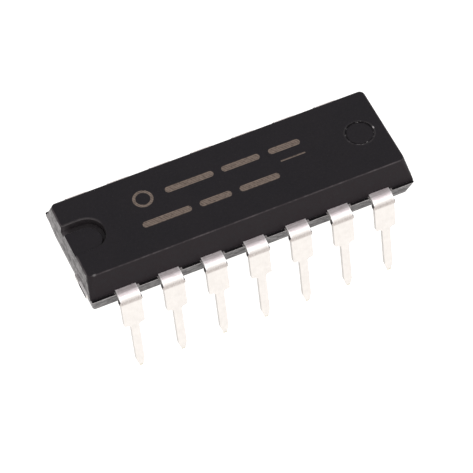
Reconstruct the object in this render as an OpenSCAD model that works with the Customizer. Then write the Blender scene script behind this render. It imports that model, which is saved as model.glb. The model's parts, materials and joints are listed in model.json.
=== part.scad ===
// Dual in-line integrated circuit package, 14 leads, through-hole.
// +X runs along the body (index notch at -X), the front row of leads is at -Y,
// +Z is up. The lead tips stand on z = 0. Everything is in millimetres.

/* [Moulded body] */
// Body length at the parting line
body_l = 19.45; // [18.7:0.05:19.7]
// Offset of the body along the lead rows
body_x = 0.04; // [-0.1:0.01:0.1]
// Width of the upper half at the parting line
body_w = 6.55; // [6.3:0.05:7.1]
// Length of the flat top
top_l = 19.03; // [18.4:0.01:19.5]
// Offset of the flat top along the body
top_x = -0.07; // [-0.1:0.01:0.1]
// Width of the flat top
top_w = 5.5; // [5.0:0.02:6.2]
// Length of the flat underside
bot_l = 19.07; // [18.2:0.01:19.5]
// Offset of the flat underside along the body
bot_x = 0.04; // [-0.1:0.01:0.1]
// Width of the flat underside
bot_w = 5.72; // [5.0:0.02:6.2]
// Height of the upper moulded half
up_h = 1.43; // [1.3:0.02:1.9]
// Height of the lower moulded half
low_h = 1.45; // [1.3:0.02:1.9]
// Ledge of the lower half along both rows of leads
ledge = 0.17; // [0.1:0.01:0.2]
// Setback of the lower half at both ends
lip = 0.04; // [0:0.01:0.08]
// Rounding of the upright corners at the flat top
corner_r = 0.4; // [0.2:0.01:0.5]
// Rounding of the upright corners at the flat underside
corner_r2 = 0.24; // [0.2:0.01:0.5]
// Rounding of the upright corners at the parting line
corner_r0 = 0.08; // [0.04:0.01:0.15]
// Rounding of the top and bottom edges
edge_r = 0.13; // [0.05:0.01:0.25]

/* [Index notch and ejector marks] */
// Half width of the notch at the top face
notch_r = 1.1; // [0.8:0.01:1.3]
// Half width of the notch's floor
notch_floor_r = 0.87; // [0.8:0.01:0.9]
// Offset of the notch's floor towards the front row of leads
notch_floor_y = 0.26; // [0.26:0.01:0.4]
// Distance from the body end to the centre of the notch's round end
notch_reach = 1.22; // [0.8:0.01:1.6]
// Depth of the notch's floor
notch_depth = 0.15; // [0.05:0.01:0.3]
// Depth of the groove beside the notch's floor
groove_depth = 0.42; // [0.2:0.01:0.5]
// Distance of the ejector mark from the body centre
mark_x = 8.0; // [6:0.01:8.3]
// Radius of the ejector mark
mark_r = 0.82; // [0.4:0.01:1.0]
// Depth of the ejector mark's ring
mark_depth = 0.03; // [0.02:0.01:0.1]

/* [Leads] */
// Pitch of the leads along a row
pitch = 2.54; // [2.5:0.01:2.6]
// Thickness of the lead metal
lead_t = 0.25; // [0.2:0.01:0.3]
// Width of the wide upper part of a lead
wide_w = 1.21; // [1.1:0.01:1.7]
// Width of the narrow shank
shank_w = 0.48; // [0.38:0.01:0.56]
// Width of the cut tip
tip_w = 0.2; // [0.05:0.01:0.3]
// Length of the tapered tip
tip_taper = 0.5; // [0.2:0.05:1.2]
// Outward splay of the legs, degrees
splay = 7.8; // [0:0.1:12]
// Inside radius of the bend
bend_r = 0.22; // [0.1:0.01:0.4]
// Overhang of the bend from the body side
overhang = 0.69; // [0.55:0.01:1.0]
// Drop from the parting line to the bottom of the wide part
wide_drop = 2.07; // [1.9:0.01:2.6]
// Drop from the parting line to the tips
tip_drop = 5.4; // [4.5:0.05:6.0]
// Rounding under the wide part
step_r = 0.13; // [0.05:0.01:0.2]
// Reach of the cut dam-bar stubs beside each lead
stub = 0.06; // [0:0.01:0.12]

/* [Inside] */
// Length of the die pad
pad_l = 3.4; // [2.4:0.1:3.4]
// Width of the die pad
pad_w = 2.4; // [1.8:0.1:2.4]
// Length of the silicon die
die_l = 2.2; // [1.6:0.1:2.4]
// Width of the silicon die
die_w = 1.8; // [1.4:0.1:2.0]
// Thickness of the silicon die
die_t = 0.3; // [0.2:0.01:0.4]
// Thickness of the adhesive under the die
bond_t = 0.03; // [0.02:0.01:0.05]
// Diameter of the bond wires
wire_d = 0.03; // [0.025:0.001:0.05]
// Width of the buried lead fingers
finger_w = 0.42; // [0.3:0.01:0.45]

/* [Hidden] */
$fn = 48;
zp = tip_drop;                       // height of the parting plane
half_t = lead_t / 2;
out_r = bend_r + lead_t;             // outside radius of the bend
z_out = -half_t - bend_r + out_r * sin(splay);
u_bend = body_w / 2 + overhang - z_out * tan(splay) - out_r * cos(splay);
z_die = half_t + bond_t + die_t;     // top of the die above the parting plane
tie_w = 0.4;

function unit(v) = v / norm(v);

// ---------------------------------------------------------------- rounding
// Cutter that rounds the convex corner P of a flat outline, between the
// outward normals a and b.
module round_flat(P, a, b, r) {
  m = unit(a + b);
  c = m * a;
  translate(P) rotate([0, 0, atan2(m[1], m[0])]) difference() {
    translate([-r / c + r * c, -1]) square([2, 2]);
    translate([-r / c, 0]) circle(r = r * 1.02);
  }
}

// Cutter that rounds the sloping corner edge P..Q of the body, between the
// outward normals of the side and the end, with a radius growing from r0 to r1.
module round_edge(P, Q, r0, r1) {
  e = unit(Q - P);
  a = unit(cross([1, 0, 0], e));
  b = unit(cross([0, 1, 0], e));
  na = a[1] < 0 ? a : -a;
  nb = b[0] > 0 ? b : -b;
  m = unit(na + nb);
  c = m * na;
  n = cross(e, m);
  len = norm(Q - P);
  below = r0 * len / (r1 - r0);      // the cone's apex lies this far below P
  tilt = atan(r1 / (c * (below + len)));
  half = asin(sin(tilt) * c);
  face = atan(tan(tilt) * (1 - c * c));
  A = P - below * e;
  h = (below + len + 0.5) / cos(tilt);
  multmatrix([[m[0], n[0], e[0], A[0]], [m[1], n[1], e[1], A[1]],
              [m[2], n[2], e[2], A[2]], [0, 0, 0, 1]])
    difference() {
      rotate([0, -face, 0]) translate([0, -1, 0.05]) cube([2, 2, below + len + 0.4]);
      rotate([0, -tilt, 0]) cylinder(r1 = 0, r2 = 1.02 * h * tan(half), h = h);
    }
}

// One moulded half: l, w at the parting plane, tl, tw at its flat face, which
// is offset by s along the body, h high, corner rounding r at the flat face
module half_blank(l, w, tl, tw, h, s, r) {
  as = atan2((w - tw) / 2, h);
  ae = atan2((l - tl) / 2 - s, h);
  af = atan2((l - tl) / 2 + s, h);
  difference() {
    intersection() {
      translate([-l / 2 - 1, 0, 0]) rotate([90, 0, 90]) linear_extrude(height = l + 2)
        difference() {
          polygon([[-w / 2, 0], [w / 2, 0], [tw / 2, h], [-tw / 2, h]]);
          round_flat([tw / 2, h], [cos(as), sin(as)], [0, 1], edge_r);
          round_flat([-tw / 2, h], [-cos(as), sin(as)], [0, 1], edge_r);
        }
      translate([0, w / 2 + 1, 0]) rotate([90, 0, 0]) linear_extrude(height = w + 2)
        difference() {
          polygon([[-l / 2, 0], [l / 2, 0], [s + tl / 2, h], [s - tl / 2, h]]);
          round_flat([s + tl / 2, h], [cos(ae), sin(ae)], [0, 1], edge_r);
          round_flat([s - tl / 2, h], [-cos(af), sin(af)], [0, 1], edge_r);
        }
    }
    for (mx = [0, 1], my = [0, 1])
      mirror([mx, 0, 0]) mirror([0, my, 0])
        round_edge([l / 2, -w / 2, 0], [tl / 2 + (1 - 2 * mx) * s, -tw / 2, h], corner_r0, r);
  }
}

// Slot open at the -X end, half width ra at height za and rb at height zb
module slot(ra, rb, za, zb) {
  x0 = body_x - body_l / 2;
  translate([x0 + notch_reach, 0, za]) cylinder(r1 = ra, r2 = rb, h = zb - za);
  translate([x0 - 1, 0, za]) rotate([90, 0, 90]) linear_extrude(height = 1 + notch_reach)
    polygon([[-ra, 0], [ra, 0], [rb, zb - za], [-rb, zb - za]]);
}

module notch() {
  translate([0, 0, up_h]) {
    difference() {
      slot(notch_r - 0.06, notch_r - 0.01, -groove_depth, 0.3);
      translate([-0.08, -notch_floor_y, 0]) {
        slot(notch_floor_r + 0.05, notch_floor_r, -groove_depth - 0.1, -notch_depth - 0.04);
        slot(notch_floor_r, notch_floor_r - 0.04, -notch_depth - 0.04, -notch_depth);
      }
    }
    slot(notch_r - 0.06, notch_r + 0.3, -0.06, 0.3);
  }
}

// The ledge slopes down beside each lead, more on the +X side
module ledge_cuts() {
  w = wide_w / 2;
  for (i = [-3 : 3], my = [0, 1])
    mirror([0, my, 0]) translate([i * pitch, -body_w / 2, 0]) rotate([90, 0, 0])
      linear_extrude(height = 0.4) {
        polygon([[w - 0.05, -0.11], [w, -0.11], [w + 0.26, 0.06], [w - 0.05, 0.06]]);
        polygon([[0.05 - w, -0.07], [-w, -0.07], [-w - 0.15, 0.06], [0.05 - w, 0.06]]);
      }
}

// Ring left by an ejector pin on a face at z = 0, cut downwards
module pin_mark() {
  translate([0, 0, -mark_depth]) difference() {
    cylinder(r = mark_r, h = mark_depth + 0.2);
    translate([0, 0, -0.1]) cylinder(r = mark_r - 0.06, h = mark_depth + 0.4);
  }
  translate([0, 0, -mark_depth * 0.3]) cylinder(r = mark_r - 0.03, h = mark_depth + 0.2);
}

// ---------------------------------------------------------------- leads
function lead_x(i) = (i <= 7 ? i - 4 : 11 - i) * pitch;
function lead_side(i) = i <= 7 ? -1 : 1;
function lead_k(i) = round(abs(lead_x(i)) / pitch);
finger_path = [
  [[0, 3.0], [0, 1.66]],
  [[2.54, 3.0], [2.54, 2.45], [1.15, 1.68]],
  [[5.08, 3.0], [5.08, 2.15], [4.6, 1.58], [2.15, 1.27]],
  [[7.62, 3.0], [7.62, 1.55], [6.9, 0.85], [2.15, 0.62]]];

module bar(p, q, w) {
  d = q - p;
  translate(p) rotate([0, 0, atan2(d[1], d[0])]) translate([0, -w / 2]) square([norm(d), w]);
}

module finger(k) {
  path = finger_path[k];
  n = len(path);
  translate([0, 0, -half_t]) linear_extrude(height = lead_t) {
    for (j = [0 : n - 2]) bar(path[j], path[j + 1], finger_w);
    for (j = [1 : n - 1]) translate(path[j]) circle(d = finger_w);
  }
}

// Side view of the sheet: shoulder, bend and splayed leg (x is outwards, y is up)
module side_view() {
  leg = 1.2 * tip_drop;
  translate([2.8, -half_t]) square([u_bend - 2.8, lead_t]);
  intersection() {
    translate([u_bend, -half_t - bend_r]) difference() {
      circle(r = out_r);
      circle(r = bend_r);
    }
    translate([u_bend, -half_t - bend_r])
      polygon([[0, 0], [2 * cos(splay), 2 * sin(splay)], [2, 2], [0, 2]]);
  }
  translate([u_bend, -half_t - bend_r]) rotate([0, 0, splay])
    translate([bend_r, -leg]) square([lead_t, leg]);
}

// Front view of a lead, from the bend down to the cut tip
module front_view() {
  r = step_r;
  difference() {
    union() {
      polygon([
        [-wide_w / 2, 1], [-wide_w / 2, -0.19], [-wide_w / 2 - stub, -0.22],
        [-wide_w / 2 - stub, -0.38], [-wide_w / 2, -0.41],
        [-wide_w / 2, -wide_drop], [-shank_w / 2 - r, -wide_drop],
        [-shank_w / 2, -wide_drop - r],
        [-shank_w / 2, -tip_drop + tip_taper], [-tip_w / 2, -tip_drop],
        [tip_w / 2, -tip_drop], [shank_w / 2, -tip_drop + tip_taper],
        [shank_w / 2, -wide_drop - r], [shank_w / 2 + r, -wide_drop],
        [wide_w / 2, -wide_drop], [wide_w / 2, -0.41], [wide_w / 2 + stub, -0.38],
        [wide_w / 2 + stub, -0.22], [wide_w / 2, -0.19], [wide_w / 2, 1]]);
    }
    for (s = [-1, 1]) translate([s * wide_w / 2, -wide_drop]) rotate([0, 0, 45])
      square(0.1, center = true);
  }
}

module lead_solid(i) {
  s = lead_side(i);
  sx = lead_x(i) < 0 ? 1 : 0;
  k = lead_k(i);
  translate([0, 0, zp]) mirror([sx, 0, 0]) mirror([0, s < 0 ? 1 : 0, 0]) {
    translate([k * pitch, 0, 0]) intersection() {
      translate([-1, 0, 0]) rotate([90, 0, 90]) linear_extrude(height = 2) side_view();
      translate([0, 8, 0]) rotate([90, 0, 0]) linear_extrude(height = 6) front_view();
    }
    finger(k);
  }
}

// ---------------------------------------------------------------- inside
module die_pad_solid() {
  xe = body_l / 2;
  translate([0, 0, zp - half_t]) linear_extrude(height = lead_t) {
    square([pad_l, pad_w], center = true);
    translate([-xe + 0.5, -tie_w / 2]) square([2 * xe - 1, tie_w]);
    for (m = [0, 1]) mirror([m, 0]) {
      translate([xe - 0.9, -2.9]) square([0.55, 2.9 + tie_w / 2]);
      translate([xe - 0.5, -2.9]) square([0.5 + 0.08, 1.6]);
    }
  }
}

module die_attach_solid() {
  translate([0, 0, zp + half_t + bond_t / 2])
    cube([die_l, die_w, bond_t], center = true);
}

module die_solid() {
  translate([0, 0, zp + half_t + bond_t + die_t / 2])
    cube([die_l, die_w, die_t], center = true);
}

wire_from = [[0, 0.76], [0.5, 0.76], [0.95, 0.6], [0.95, 0.25]];
wire_to = [[0, 1.62], [1.19, 1.66], [2.19, 1.265], [2.22, 0.62]];

module wire_solid(i) {
  s = lead_side(i);
  sx = lead_x(i) < 0 ? -1 : 1;
  k = lead_k(i);
  A = [sx * wire_from[k][0], s * wire_from[k][1]];
  B = [sx * wire_to[k][0], s * wire_to[k][1]];
  d = norm(B - A);
  dz = z_die - half_t;
  c = norm([d, dz]);
  al = 62;
  R = c / (2 * sin(al));
  tilt = atan2(-dz, d);
  cx = d / 2 - R * cos(al) * sin(-tilt);
  cz = z_die - dz / 2 - R * cos(al) * cos(tilt);
  translate([0, 0, zp]) difference() {
    union() {
      translate([A[0], A[1], 0]) rotate([0, 0, atan2(B[1] - A[1], B[0] - A[0])]) {
        translate([cx, 0, cz]) rotate([90, 0, 0]) rotate([0, 0, 90 + tilt - al - 4])
          rotate_extrude(angle = 2 * al + 8) translate([R, 0]) circle(d = wire_d, $fn = 16);
        translate([0, 0, z_die]) cylinder(d = wire_d * 2.4, h = wire_d);
        translate([d, 0, half_t]) cylinder(d = wire_d * 2.6, h = wire_d * 0.5);
      }
    }
    translate([-die_l / 2, -die_w / 2, 0]) cube([die_l, die_w, z_die]);
    translate([-4, -3, -1]) cube([8, 6, 1 + half_t]);
  }
}

// ---------------------------------------------------------------- nodes
module body() color([0.14, 0.14, 0.15]) difference() {
  translate([0, 0, zp]) difference() {
    union() {
      translate([body_x, 0, 0]) half_blank(body_l, body_w, top_l, top_w, up_h, top_x, corner_r);
      translate([body_x, 0, 0]) mirror([0, 0, 1])
        half_blank(body_l - 2 * lip, body_w + 2 * ledge, bot_l, bot_w, low_h, bot_x, corner_r2);
    }
    notch();
    ledge_cuts();
    translate([mark_x, 0, up_h]) pin_mark();
    for (x = [-6.2, 6.2]) translate([x, 0, -low_h]) mirror([0, 0, 1]) pin_mark();
  }
  for (i = [1 : 14]) lead_solid(i);
  die_pad_solid();
  die_attach_solid();
  die_solid();
  for (i = [1 : 14]) wire_solid(i);
}
module die_pad() color([0.80, 0.62, 0.45]) die_pad_solid();
module die_attach() color([0.72, 0.72, 0.70]) die_attach_solid();
module die() color([0.35, 0.37, 0.45]) die_solid();
module lead(i) color([0.83, 0.82, 0.80]) lead_solid(i);
module bond_wire(i) color([0.95, 0.75, 0.30]) wire_solid(i);
module lead_01() lead(1);
module lead_02() lead(2);
module lead_03() lead(3);
module lead_04() lead(4);
module lead_05() lead(5);
module lead_06() lead(6);
module lead_07() lead(7);
module lead_08() lead(8);
module lead_09() lead(9);
module lead_10() lead(10);
module lead_11() lead(11);
module lead_12() lead(12);
module lead_13() lead(13);
module lead_14() lead(14);
module bond_wire_01() bond_wire(1);
module bond_wire_02() bond_wire(2);
module bond_wire_03() bond_wire(3);
module bond_wire_04() bond_wire(4);
module bond_wire_05() bond_wire(5);
module bond_wire_06() bond_wire(6);
module bond_wire_07() bond_wire(7);
module bond_wire_08() bond_wire(8);
module bond_wire_09() bond_wire(9);
module bond_wire_10() bond_wire(10);
module bond_wire_11() bond_wire(11);
module bond_wire_12() bond_wire(12);
module bond_wire_13() bond_wire(13);
module bond_wire_14() bond_wire(14);

body();
die_pad();
die_attach();
die();
lead_01();
lead_02();
lead_03();
lead_04();
lead_05();
lead_06();
lead_07();
lead_08();
lead_09();
lead_10();
lead_11();
lead_12();
lead_13();
lead_14();
bond_wire_01();
bond_wire_02();
bond_wire_03();
bond_wire_04();
bond_wire_05();
bond_wire_06();
bond_wire_07();
bond_wire_08();
bond_wire_09();
bond_wire_10();
bond_wire_11();
bond_wire_12();
bond_wire_13();
bond_wire_14();
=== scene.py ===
import json
import math

import bpy
from mathutils import Matrix, Vector

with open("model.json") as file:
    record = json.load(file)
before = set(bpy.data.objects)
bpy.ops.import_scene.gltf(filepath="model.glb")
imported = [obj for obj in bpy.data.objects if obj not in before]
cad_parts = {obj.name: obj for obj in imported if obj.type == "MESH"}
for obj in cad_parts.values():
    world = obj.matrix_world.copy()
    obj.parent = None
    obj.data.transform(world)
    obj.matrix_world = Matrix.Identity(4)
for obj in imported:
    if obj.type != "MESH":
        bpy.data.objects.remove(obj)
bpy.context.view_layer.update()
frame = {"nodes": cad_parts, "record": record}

nodes = frame["nodes"]
scene = bpy.context.scene

ZP = 5.4          # height of the parting plane above the lead tips, mm
TOP = 6.83        # height of the flat top, mm


# ------------------------------------------------------------------ node helpers
class Mat:
    """A material with a few short calls for building its nodes. Lengths are in mm."""

    def __init__(self, name):
        self.m = bpy.data.materials.new(name)
        self.m.use_nodes = True
        self.nt = self.m.node_tree
        self.nt.nodes.clear()
        self.out = self.nt.nodes.new("ShaderNodeOutputMaterial")
        self.b = self.nt.nodes.new("ShaderNodeBsdfPrincipled")
        self.nt.links.new(self.b.outputs[0], self.out.inputs[0])
        tc = self.nt.nodes.new("ShaderNodeTexCoord")
        s = self.nt.nodes.new("ShaderNodeVectorMath")
        s.operation = "SCALE"
        s.inputs["Scale"].default_value = 1000.0
        self.nt.links.new(tc.outputs["Object"], s.inputs[0])
        self.p = s.outputs[0]
        sep = self.nt.nodes.new("ShaderNodeSeparateXYZ")
        self.nt.links.new(self.p, sep.inputs[0])
        self.x, self.y, self.z = sep.outputs
        g = self.nt.nodes.new("ShaderNodeNewGeometry")
        sn = self.nt.nodes.new("ShaderNodeSeparateXYZ")
        self.nt.links.new(g.outputs["Normal"], sn.inputs[0])
        self.nx, self.ny, self.nz = sn.outputs

    def put(self, sock, v):
        if isinstance(v, bpy.types.NodeSocket):
            self.nt.links.new(v, sock)
        else:
            sock.default_value = v

    def math(self, op, a, b=0.0, c=None, clamp=False):
        n = self.nt.nodes.new("ShaderNodeMath")
        n.operation = op
        n.use_clamp = clamp
        self.put(n.inputs[0], a)
        self.put(n.inputs[1], b)
        if c is not None:
            self.put(n.inputs[2], c)
        return n.outputs[0]

    def ramp(self, v, lo, hi, a=0.0, b=1.0):
        n = self.nt.nodes.new("ShaderNodeMapRange")
        n.interpolation_type = "SMOOTHSTEP"
        self.put(n.inputs["Value"], v)
        n.inputs["From Min"].default_value = lo
        n.inputs["From Max"].default_value = hi
        n.inputs["To Min"].default_value = a
        n.inputs["To Max"].default_value = b
        return n.outputs[0]

    def noise(self, scale, detail=3.0, rough=0.55, stretch=None, distortion=0.0):
        vec = self.p
        if stretch:
            mp = self.nt.nodes.new("ShaderNodeVectorMath")
            mp.operation = "MULTIPLY"
            self.nt.links.new(self.p, mp.inputs[0])
            mp.inputs[1].default_value = stretch
            vec = mp.outputs[0]
        n = self.nt.nodes.new("ShaderNodeTexNoise")
        self.nt.links.new(vec, n.inputs["Vector"])
        n.inputs["Scale"].default_value = scale
        n.inputs["Detail"].default_value = detail
        n.inputs["Roughness"].default_value = rough
        n.inputs["Distortion"].default_value = distortion
        return n.outputs["Fac"]

    def mix(self, f, a, b):
        n = self.nt.nodes.new("ShaderNodeMix")
        n.data_type = "RGBA"
        self.put(n.inputs[0], f)
        self.put(n.inputs[6], a if isinstance(a, bpy.types.NodeSocket) else (*a, 1.0))
        self.put(n.inputs[7], b if isinstance(b, bpy.types.NodeSocket) else (*b, 1.0))
        return n.outputs[2]

    def mixf(self, f, a, b):
        n = self.nt.nodes.new("ShaderNodeMix")
        n.data_type = "FLOAT"
        self.put(n.inputs[0], f)
        self.put(n.inputs[2], a)
        self.put(n.inputs[3], b)
        return n.outputs[0]

    def bump(self, h, dist_um, normal=None):
        n = self.nt.nodes.new("ShaderNodeBump")
        n.inputs["Strength"].default_value = 1.0
        n.inputs["Distance"].default_value = dist_um * 1e-6
        self.nt.links.new(h, n.inputs["Height"])
        if normal is not None:
            self.nt.links.new(normal, n.inputs["Normal"])
        return n.outputs[0]

    def box(self, cx, cy, hw, hh, soft=0.02):
        """1 inside a rounded block on the XY plane"""
        dx = self.math("SUBTRACT", self.math("ABSOLUTE", self.math("SUBTRACT", self.x, cx)), hw - hh)
        dx = self.math("MAXIMUM", dx, 0.0)
        dy = self.math("SUBTRACT", self.y, cy)
        d = self.math("SQRT", self.math("ADD", self.math("MULTIPLY", dx, dx), self.math("MULTIPLY", dy, dy)))
        return self.ramp(d, hh - soft, hh + soft, 1.0, 0.0)

    def ring(self, cx, cy, r, half, soft=0.02):
        dx = self.math("SUBTRACT", self.x, cx)
        dy = self.math("SUBTRACT", self.y, cy)
        d = self.math("SQRT", self.math("ADD", self.math("MULTIPLY", dx, dx), self.math("MULTIPLY", dy, dy)))
        d = self.math("ABSOLUTE", self.math("SUBTRACT", d, r))
        return self.ramp(d, half - soft, half + soft, 1.0, 0.0)


# ------------------------------------------------------------------ moulding compound
def epoxy():
    m = Mat("moulding_compound")
    fine = m.noise(14.0, 4.0, 0.65)
    grain = m.noise(5.0, 3.0, 0.6)
    broad = m.noise(0.55, 2.0, 0.5)
    patch = m.noise(2.6, 4.0, 0.7, distortion=0.4)
    speck = m.ramp(m.noise(8.5, 2.0, 0.5), 0.63, 0.74)
    up_z = m.math("SUBTRACT", m.z, ZP)

    # the flat top and the upper sides are smooth, the ends and the lower half rougher
    flat = m.ramp(m.math("ABSOLUTE", m.nz), 0.93, 0.985)
    end = m.math("MULTIPLY", m.ramp(m.math("ABSOLUTE", m.nx), 0.8, 0.95), m.ramp(m.math("ABSOLUTE", m.x), 9.1, 9.3))
    low = m.ramp(up_z, -0.005, 0.005, 1.0, 0.0)
    rough = m.math("MAXIMUM", end, m.math("MULTIPLY", low, m.math("SUBTRACT", 1.0, flat)))

    col = m.mix(m.ramp(fine, 0.3, 0.7), (0.0042, 0.0034, 0.0052), (0.0078, 0.0062, 0.0088))
    col = m.mix(m.ramp(broad, 0.35, 0.65, 0.0, 0.35), col, (0.0090, 0.0068, 0.0090))
    col = m.mix(m.math("MULTIPLY", speck, 0.25), col, (0.035, 0.034, 0.036))
    wall = m.math("MULTIPLY", m.math("SUBTRACT", 1.0, flat), m.math("SUBTRACT", 1.0, rough))
    col = m.mix(m.math("MULTIPLY", wall, m.ramp(grain, 0.3, 0.7, 0.4, 0.9)), col, (0.0100, 0.0056, 0.0074))
    # painted reflection: the ends and the trimmed lower sides get a pale mottled colour that stands in for the bright
    # floor they reflect at a grazing angle, palest on the ends
    lines = m.noise(1.7, 4.0, 0.68, stretch=(0.6, 0.6, 2.0))
    tone = m.math("ADD", m.math("MULTIPLY", m.noise(5.0, 3.0, 0.7, distortion=0.3), 0.35), m.math("MULTIPLY", lines, 0.65))
    floor_reflection_paint = m.mix(m.ramp(tone, 0.38, 0.62), (0.030, 0.027, 0.027), (0.112, 0.105, 0.105))
    end_reflection_paint = m.mix(m.ramp(tone, 0.38, 0.62), (0.066, 0.062, 0.062), (0.225, 0.215, 0.215))
    floor_reflection_paint = m.mix(end, floor_reflection_paint, end_reflection_paint)
    col = m.mix(m.math("MULTIPLY", rough, m.ramp(fine, 0.25, 0.6, 0.75, 1.0)), col, floor_reflection_paint)
    # painted highlight: the rounded edges of the top and of the notch are made paler in broken patches; round the
    # notch it is strongest on the far side and fades out towards the near side
    slope = m.math("MULTIPLY", m.ramp(m.nz, 0.52, 0.66), m.ramp(m.nz, 0.90, 0.975, 1.0, 0.0))
    near = m.ramp(m.z, TOP - 0.21, TOP - 0.19)
    edge_highlight_paint = m.math("MULTIPLY", m.math("MULTIPLY", slope, near), m.ramp(m.noise(1.6, 4.0, 0.7), 0.38, 0.64, 0.25, 1.0))
    dx = m.math("ADD", m.x, 8.5)
    index = m.ramp(m.math("SQRT", m.math("ADD", m.math("MULTIPLY", dx, dx), m.math("MULTIPLY", m.y, m.y))), 1.35, 1.6, 1.0, 0.0)
    notch_rim_highlight = m.mix(m.ramp(m.y, 0.1, 0.85), (0.008, 0.007, 0.0075), (0.080, 0.071, 0.074))
    col = m.mix(edge_highlight_paint, col, m.mix(index, (0.058, 0.049, 0.052), notch_rim_highlight))
    # painted light: the groove in the notch is made paler than the top, palest at its open mouth
    sunk = m.math("MAXIMUM", m.ramp(m.z, TOP - 0.36, TOP - 0.30, 1.0, 0.0),
                  m.math("MULTIPLY", m.math("SUBTRACT", 1.0, flat), m.ramp(m.nz, 0.4, 0.6, 1.0, 0.0)))
    sunk = m.math("MULTIPLY", m.math("MULTIPLY", sunk, index), m.math("SUBTRACT", 1.0, end))
    sunk = m.math("MULTIPLY", sunk, m.ramp(m.z, TOP - 0.5, TOP - 0.45))
    groove_light_paint = m.mix(m.ramp(m.x, -9.5, -9.0), (0.072, 0.065, 0.068), (0.023, 0.020, 0.0215))
    col = m.mix(m.math("MULTIPLY", sunk, m.ramp(grain, 0.3, 0.7, 0.6, 1.0)), col, groove_light_paint)
    # painted highlight: a soft pale band runs round the far side of the notch
    dx = m.math("MAXIMUM", m.math("ADD", m.x, 8.465), 0.0)
    reach = m.math("SQRT", m.math("ADD", m.math("MULTIPLY", dx, dx), m.math("MULTIPLY", m.y, m.y)))
    far_rim_highlight_paint = m.ramp(m.math("ABSOLUTE", m.math("SUBTRACT", reach, 1.12)), 0.02, 0.08, 1.0, 0.0)
    far_rim_highlight_paint = m.math("MULTIPLY", m.math("MULTIPLY", far_rim_highlight_paint, m.ramp(m.y, 0.3, 0.8)), m.ramp(m.x, -7.2, -7.0, 1.0, 0.0))
    far_rim_highlight_paint = m.math("MULTIPLY", far_rim_highlight_paint, m.math("MULTIPLY", m.ramp(m.z, TOP - 0.22, TOP - 0.12), m.math("SUBTRACT", 1.0, end)))
    col = m.mix(m.math("MULTIPLY", far_rim_highlight_paint, m.ramp(grain, 0.3, 0.7, 0.45, 0.95)), col, (0.040, 0.036, 0.037))
    # painted highlight: a pale blob on the front corner of the top next to the notch, where the edge highlight begins
    rx, ry = m.math("ADD", m.x, 9.12), m.math("MULTIPLY", m.math("ADD", m.y, 2.72), 1.7)
    corner_highlight_paint = m.math("SQRT", m.math("ADD", m.math("MULTIPLY", rx, rx), m.math("MULTIPLY", ry, ry)))
    corner_highlight_paint = m.math("ADD", corner_highlight_paint, m.math("MULTIPLY", m.math("SUBTRACT", m.noise(6.0, 3.0, 0.7), 0.5), 0.25))
    corner_highlight_paint = m.math("MULTIPLY", m.ramp(corner_highlight_paint, 0.03, 0.14, 1.0, 0.0), m.ramp(m.z, TOP - 0.28, TOP - 0.16))
    col = m.mix(corner_highlight_paint, col, (0.115, 0.109, 0.110))
    # painted highlight: the thin edge of the ledge is made pale
    rim = m.math("MULTIPLY", m.ramp(m.math("ABSOLUTE", up_z), 0.08, 0.13, 1.0, 0.0), m.math("MULTIPLY", low, m.math("SUBTRACT", 1.0, flat)))
    col = m.mix(m.math("MULTIPLY", rim, m.ramp(grain, 0.3, 0.6, 0.55, 1.0)), col, (0.36, 0.34, 0.34))
    # painted shade: the flat of the ledge and its end at the far corner are made near-black
    ledge_shade_paint = m.math("MULTIPLY", m.ramp(m.math("ABSOLUTE", up_z), 0.004, 0.012, 1.0, 0.0), flat)
    corner = m.math("MULTIPLY", m.ramp(m.x, -9.58, -9.50, 1.0, 0.0), m.ramp(m.y, 3.08, 3.15))
    corner = m.math("MULTIPLY", corner, m.math("MULTIPLY", low, m.ramp(up_z, -0.34, -0.26)))
    ledge_shade_paint = m.math("MAXIMUM", ledge_shade_paint, corner)
    col = m.mix(m.math("MULTIPLY", ledge_shade_paint, m.ramp(grain, 0.3, 0.7, 0.6, 0.9)), col, (0.0020, 0.0017, 0.0020))

    # the ejector pin left a dark ring inside a pale one; the pale specks on its rim, strongest on its right side, are
    # a painted highlight
    top_only = m.ramp(m.z, TOP - 0.05, TOP - 0.04)
    pressed = m.math("MULTIPLY", m.math("MULTIPLY", m.ring(8.0, 0.0, 0.755, 0.05), top_only), m.ramp(grain, 0.35, 0.65, 0.3, 0.95))
    pressed = m.math("MULTIPLY", pressed, m.ramp(m.y, -0.45, 0.15))
    col = m.mix(pressed, col, (0.0026, 0.0022, 0.0026))
    halo = m.math("MULTIPLY", m.math("MULTIPLY", m.ring(8.0, 0.0, 0.87, 0.035), top_only), m.ramp(m.noise(2.2, 3.0, 0.6), 0.35, 0.65, 0.15, 0.8))
    col = m.mix(halo, col, (0.030, 0.027, 0.028))
    ring_highlight_specks = m.math("MULTIPLY", m.ring(8.0, 0.0, 0.80, 0.045), m.ramp(m.noise(4.5, 3.0, 0.7), 0.54, 0.66))
    ring_highlight_specks = m.math("MULTIPLY", m.math("MULTIPLY", ring_highlight_specks, m.ramp(m.x, 7.3, 8.7, 0.15, 0.9)), m.ramp(m.z, TOP - 0.05, TOP - 0.04))
    kx, ky = m.math("MULTIPLY", m.math("SUBTRACT", m.x, 8.87), 1.8), m.math("SUBTRACT", m.y, 0.03)
    ring_highlight_spot = m.math("SQRT", m.math("ADD", m.math("MULTIPLY", kx, kx), m.math("MULTIPLY", ky, ky)))
    ring_highlight_spot = m.math("ADD", ring_highlight_spot, m.math("MULTIPLY", m.math("SUBTRACT", m.noise(8.0, 3.0, 0.7), 0.5), 0.15))
    ring_highlight_specks = m.math("MAXIMUM", ring_highlight_specks, m.math("MULTIPLY", m.ramp(ring_highlight_spot, 0.03, 0.12, 0.8, 0.0), top_only))
    col = m.mix(ring_highlight_specks, col, (0.42, 0.40, 0.40))

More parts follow.
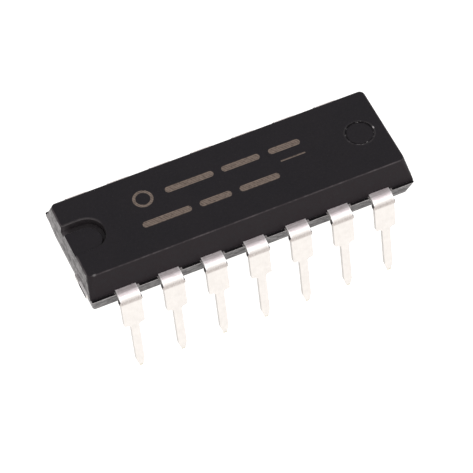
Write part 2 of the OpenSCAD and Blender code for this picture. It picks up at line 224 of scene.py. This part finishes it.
    # plain laser-etched blocks and a ring where the marking goes
    marks = [m.ring(-4.73, 0.93, 0.50, 0.085)]
    for cx, cy, hw in ((-1.95, 0.93, 1.45), (1.15, 0.93, 1.15), (3.80, 0.93, 0.95), (3.95, 0.06, 0.75),
                       (-4.00, -0.78, 1.45), (-1.10, -0.78, 0.95), (1.55, -0.78, 1.20)):
        marks.append(m.box(cx, cy, hw, 0.045 if cy == 0.06 else 0.21))
    mk = marks[0]
    for k in marks[1:]:
        mk = m.math("MAXIMUM", mk, k)
    up = m.ramp(m.nz, 0.97, 0.99)
    high = m.ramp(m.z, TOP - 0.03, TOP - 0.01)
    mk = m.math("MULTIPLY", m.math("MULTIPLY", mk, up), high)
    # laser hatch lines and uneven burn
    hatch = m.math("SINE", m.math("MULTIPLY", m.y, 2 * math.pi / 0.105))
    burn = m.math("ADD", m.math("MULTIPLY", hatch, 0.16), m.noise(6.0, 4.0, 0.7))
    tan = m.mix(m.ramp(burn, 0.25, 0.75), (0.090, 0.070, 0.058), (0.205, 0.160, 0.132))
    col = m.mix(m.math("MULTIPLY", mk, m.ramp(burn, 0.15, 0.42, 0.55, 1.0)), col, tan)
    m.put(m.b.inputs["Base Color"], col)

    r_top = m.ramp(grain, 0.3, 0.7, 0.46, 0.58)
    r_side = m.ramp(patch, 0.3, 0.7, 0.34, 0.60)
    r = m.mixf(rough, r_top, r_side)
    r = m.mixf(mk, r, 0.8)
    m.put(m.b.inputs["Roughness"], r)
    m.b.inputs["IOR"].default_value = 1.38
    level = m.mixf(rough, m.mixf(wall, 0.33, 0.36), m.ramp(tone, 0.38, 0.62, 0.22, 0.48))
    level = m.mixf(m.math("MULTIPLY", pressed, 0.8), level, 0.06)
    m.put(m.b.inputs["Specular IOR Level"], m.mixf(ledge_shade_paint, level, 0.30))
    h = m.math("ADD", m.math("MULTIPLY", fine, 0.5), grain)
    h = m.math("MULTIPLY", h, m.mixf(rough, 0.4, 1.0))
    h = m.math("SUBTRACT", h, m.math("MULTIPLY", mk, 0.8))
    m.put(m.b.inputs["Normal"], m.bump(h, 14.0))
    return m.m


# ------------------------------------------------------------------ tin-plated leads
def plate(name="tin_plate", cut=False):
    m = Mat(name)
    roll = m.noise(3.0, 3.0, 0.6, stretch=(6.0, 1.0, 1.0))
    cloud = m.noise(2.2, 4.0, 0.6)
    fine = m.noise(24.0, 3.0, 0.6)
    col = m.mix(m.ramp(cloud, 0.3, 0.7), (0.755, 0.725, 0.695), (0.795, 0.765, 0.735))
    col = m.mix(m.ramp(fine, 0.62, 0.78, 0.0, 0.35), col, (0.52, 0.47, 0.44))
    # the up-facing shoulders get a lighter, pinker colour: partly a pinker tint, partly painted reflection of the
    # light from above
    shoulder = m.ramp(m.nz, 0.75, 0.95)
    streak = m.ramp(m.noise(2.4, 3.0, 0.65, stretch=(0.7, 5.0, 5.0)), 0.35, 0.65)
    shoulder_tint_and_reflection = m.mix(streak, (0.80, 0.72, 0.73), (0.97, 0.91, 0.92))
    if cut:  # the bar's far part has a thin skin of resin on it
        resin = m.ramp(m.y, -1.95, -1.78)
        # painted reflection: the bar's up-facing top is made near white
        shoulder_tint_and_reflection = m.mix(streak, (0.92, 0.90, 0.90), (1.0, 0.99, 0.985))
        shoulder_tint_and_reflection = m.mix(resin, shoulder_tint_and_reflection, (0.50, 0.485, 0.48))
    col = m.mix(m.math("MULTIPLY", shoulder, 0.9), col, shoulder_tint_and_reflection)
    # the rounded edges of the sheet catch the light beside the bend
    edge = m.math("MULTIPLY", m.ramp(m.math("PINGPONG", m.math("ABSOLUTE", m.x), 1.27), 0.50, 0.585), m.ramp(m.nz, 0.3, 0.5))
    col = m.mix(m.math("MULTIPLY", edge, 0.8), col, (0.98, 0.96, 0.955))
    # dull band across the outer face where the dam bar was
    dull = m.math("MULTIPLY", m.ramp(m.math("ABSOLUTE", m.math("SUBTRACT", m.z, ZP - 0.27)), 0.04, 0.21, 1.0, 0.0),
                  m.ramp(m.math("ABSOLUTE", m.nx), 0.3, 0.6, 1.0, 0.0))
    col = m.mix(m.math("MULTIPLY", dull, m.ramp(m.noise(5.0, 3.0, 0.6, stretch=(3.0, 1.0, 1.0)), 0.3, 0.65, 0.55, 0.95)), col, (0.44, 0.395, 0.375))
    # bare copper alloy shows at the sheared tips; the faces where the dam bar was sheared are made near-black
    tip = m.ramp(m.z, 0.02, 0.16, 1.0, 0.0)
    side = m.ramp(m.math("ABSOLUTE", m.nx), 0.75, 0.95)
    dz = m.math("ABSOLUTE", m.math("SUBTRACT", m.z, ZP - 0.30))
    bare = m.math("MULTIPLY", m.ramp(m.math("ABSOLUTE", m.nx), 0.3, 0.5), m.ramp(dz, 0.13, 0.17, 1.0, 0.0))
    bare = m.math("MULTIPLY", bare, m.ramp(fine, 0.3, 0.6, 0.85, 1.0))
    if cut:
        # on the bar, the cut end faces outside the resin skin are made near-black instead
        bare = m.math("MULTIPLY", m.ramp(m.math("ABSOLUTE", m.nx), 0.85, 0.95), m.ramp(fine, 0.3, 0.6, 0.8, 1.0))
        bare = m.math("MULTIPLY", bare, m.math("SUBTRACT", 1.0, resin))
    # the edges of the sheet are rougher and darker than its rolled faces
    col = m.mix(m.math("MULTIPLY", side, 0.6), col, (0.46, 0.44, 0.43))
    col = m.mix(m.math("MULTIPLY", tip, m.ramp(m.noise(7.0, 2.0, 0.5), 0.35, 0.6, 0.3, 0.9)), col, (0.62, 0.58, 0.46))
    col = m.mix(bare, col, (0.020, 0.016, 0.014))
    m.put(m.b.inputs["Base Color"], col)
    m.b.inputs["Metallic"].default_value = 1.0
    m.put(m.b.inputs["Specular Tint"], m.mix(bare, (1.0, 1.0, 1.0), (0.04, 0.04, 0.04)))
    r = m.ramp(roll, 0.3, 0.7, 0.42, 0.56)
    r = m.mixf(bare, r, 0.62)
    m.put(m.b.inputs["Roughness"], r)
    h = m.math("ADD", m.math("MULTIPLY", fine, 0.35), roll)
    m.put(m.b.inputs["Normal"], m.bump(h, 2.5))
    return m.m


# ------------------------------------------------------------------ sealed pieces
def frame_alloy():
    m = plate("frame_alloy", cut=True)
    return m


def inner(name, c0, c1, metallic, r0, r1, scale, bump_um, stretch=None):
    m = Mat(name)
    n = m.noise(scale, 4.0, 0.6, stretch=stretch)
    m.put(m.b.inputs["Base Color"], m.mix(m.ramp(n, 0.3, 0.7), c0, c1))
    m.b.inputs["Metallic"].default_value = metallic
    m.put(m.b.inputs["Roughness"], m.ramp(n, 0.3, 0.7, r0, r1))
    m.put(m.b.inputs["Normal"], m.bump(n, bump_um))
    return m.m


def silicon():
    m = Mat("silicon_die")
    # street grid and cell rows of a small chip, generic
    gx = m.math("PINGPONG", m.math("MULTIPLY", m.x, 9.0), 1.0)
    gy = m.math("PINGPONG", m.math("MULTIPLY", m.y, 14.0), 1.0)
    cells = m.math("MULTIPLY", m.ramp(gx, 0.2, 0.35), m.ramp(gy, 0.25, 0.4))
    n = m.noise(7.0, 2.0, 0.5)
    rim = m.math("MAXIMUM", m.ramp(m.math("ABSOLUTE", m.x), 0.98, 1.0), m.ramp(m.math("ABSOLUTE", m.y), 0.78, 0.80))
    up = m.ramp(m.nz, 0.5, 0.9)
    col = m.mix(m.math("MULTIPLY", cells, m.ramp(n, 0.35, 0.65)), (0.10, 0.12, 0.17), (0.33, 0.30, 0.26))
    col = m.mix(rim, col, (0.16, 0.18, 0.22))
    col = m.mix(up, (0.13, 0.14, 0.16), col)
    m.put(m.b.inputs["Base Color"], col)
    m.b.inputs["Metallic"].default_value = 0.6
    m.put(m.b.inputs["Roughness"], m.ramp(n, 0.3, 0.7, 0.12, 0.22))
    m.put(m.b.inputs["Normal"], m.bump(cells, 0.6))
    return m.m


mats = {
    "epoxy": epoxy(),
    "lead_plate": plate(),
    "frame_metal": frame_alloy(),
    "adhesive": inner("silver_adhesive", (0.42, 0.42, 0.41), (0.60, 0.60, 0.58), 0.5, 0.45, 0.65, 18.0, 4.0),
    "silicon": silicon(),
    "gold": inner("gold_wire", (0.83, 0.58, 0.22), (0.95, 0.72, 0.32), 1.0, 0.18, 0.30, 30.0, 0.5),
}
slot_of = {s["node"]: s["material_slot"] for s in frame["record"]["subparts"]}
for name, ob in nodes.items():
    mat = mats[slot_of[name]]
    ob.data.materials.clear()
    ob.data.materials.append(mat)

# ------------------------------------------------------------------ floor and light
def floor():
    """Pale floor in a wide pool of light that fades outwards"""
    size = 1.5
    me = bpy.data.meshes.new("floor")
    me.from_pydata([(-size, -size, -2e-5), (size, -size, -2e-5), (size, size, -2e-5), (-size, size, -2e-5)], [], [(0, 1, 2, 3)])
    ob = bpy.data.objects.new("floor", me)
    scene.collection.objects.link(ob)
    m = Mat("pale_floor")
    dist = m.math("SQRT", m.math("ADD", m.math("MULTIPLY", m.x, m.x), m.math("MULTIPLY", m.y, m.y)))
    m.b.inputs["Base Color"].default_value = (0.30, 0.30, 0.30, 1.0)
    m.b.inputs["Roughness"].default_value = 0.9
    m.b.inputs["Emission Color"].default_value = (1.0, 0.99, 0.975, 1.0)
    m.put(m.b.inputs["Emission Strength"], m.ramp(dist, 20.0, 60.0, 1.00, 0.78))
    me.materials.append(m.m)


floor()


def soft_light(name, direction, distance, w, h, power, colour=(1, 1, 1)):
    lamp = bpy.data.lights.new(name, "AREA")
    lamp.shape = "RECTANGLE"
    lamp.size = w
    lamp.size_y = h
    lamp.energy = power
    lamp.color = colour
    ob = bpy.data.objects.new(name, lamp)
    scene.collection.objects.link(ob)
    d = Vector(direction).normalized()
    ob.location = d * distance
    ob.rotation_euler = d.to_track_quat("Z", "Y").to_euler()
    return ob


soft_light("front_softbox", (0.20, -0.72, 0.80), 0.60, 0.70, 0.42, 1.45)
soft_light("left_softbox", (-0.80, 0.58, 0.14), 0.60, 0.35, 0.16, 0.35)

world = bpy.data.worlds.new("studio")
scene.world = world
world.use_nodes = True
bg = world.node_tree.nodes["Background"]
bg.inputs[0].default_value = (1.0, 0.975, 0.985, 1.0)
bg.inputs[1].default_value = 0.82

# ------------------------------------------------------------------ camera
def camera():
    az, el, roll = -111.6345, 52.82489, -3.113
    focal_px, tx, ty, scale = math.exp(7.9819), -0.4013, 2.16035, math.exp(2.89173)
    a, e, r = math.radians(az), math.radians(el), math.radians(roll)
    d = Vector((math.cos(e) * math.cos(a), math.cos(e) * math.sin(a), math.sin(e)))
    right = Vector((-math.sin(a), math.cos(a), 0.0))
    up = d.cross(right)
    R = math.cos(r) * right + math.sin(r) * up
    U = -math.sin(r) * right + math.cos(r) * up
    dist = focal_px / scale
    loc = (-tx * R - ty * U + dist * d + Vector((0, 0, ZP))) * 0.001
    cam = bpy.data.cameras.new("camera")
    cam.sensor_fit = "HORIZONTAL"
    cam.sensor_width = 36.0
    cam.lens = focal_px * 36.0 / 473.0
    cam.clip_start = 0.005
    cam.clip_end = 20.0
    ob = bpy.data.objects.new("camera", cam)
    m = Matrix((R, U, d)).transposed().to_4x4()
    m.translation = loc
    ob.matrix_world = m
    scene.collection.objects.link(ob)
    scene.camera = ob


camera()
scene.view_settings.view_transform = "Standard"
scene.view_settings.look = "None"
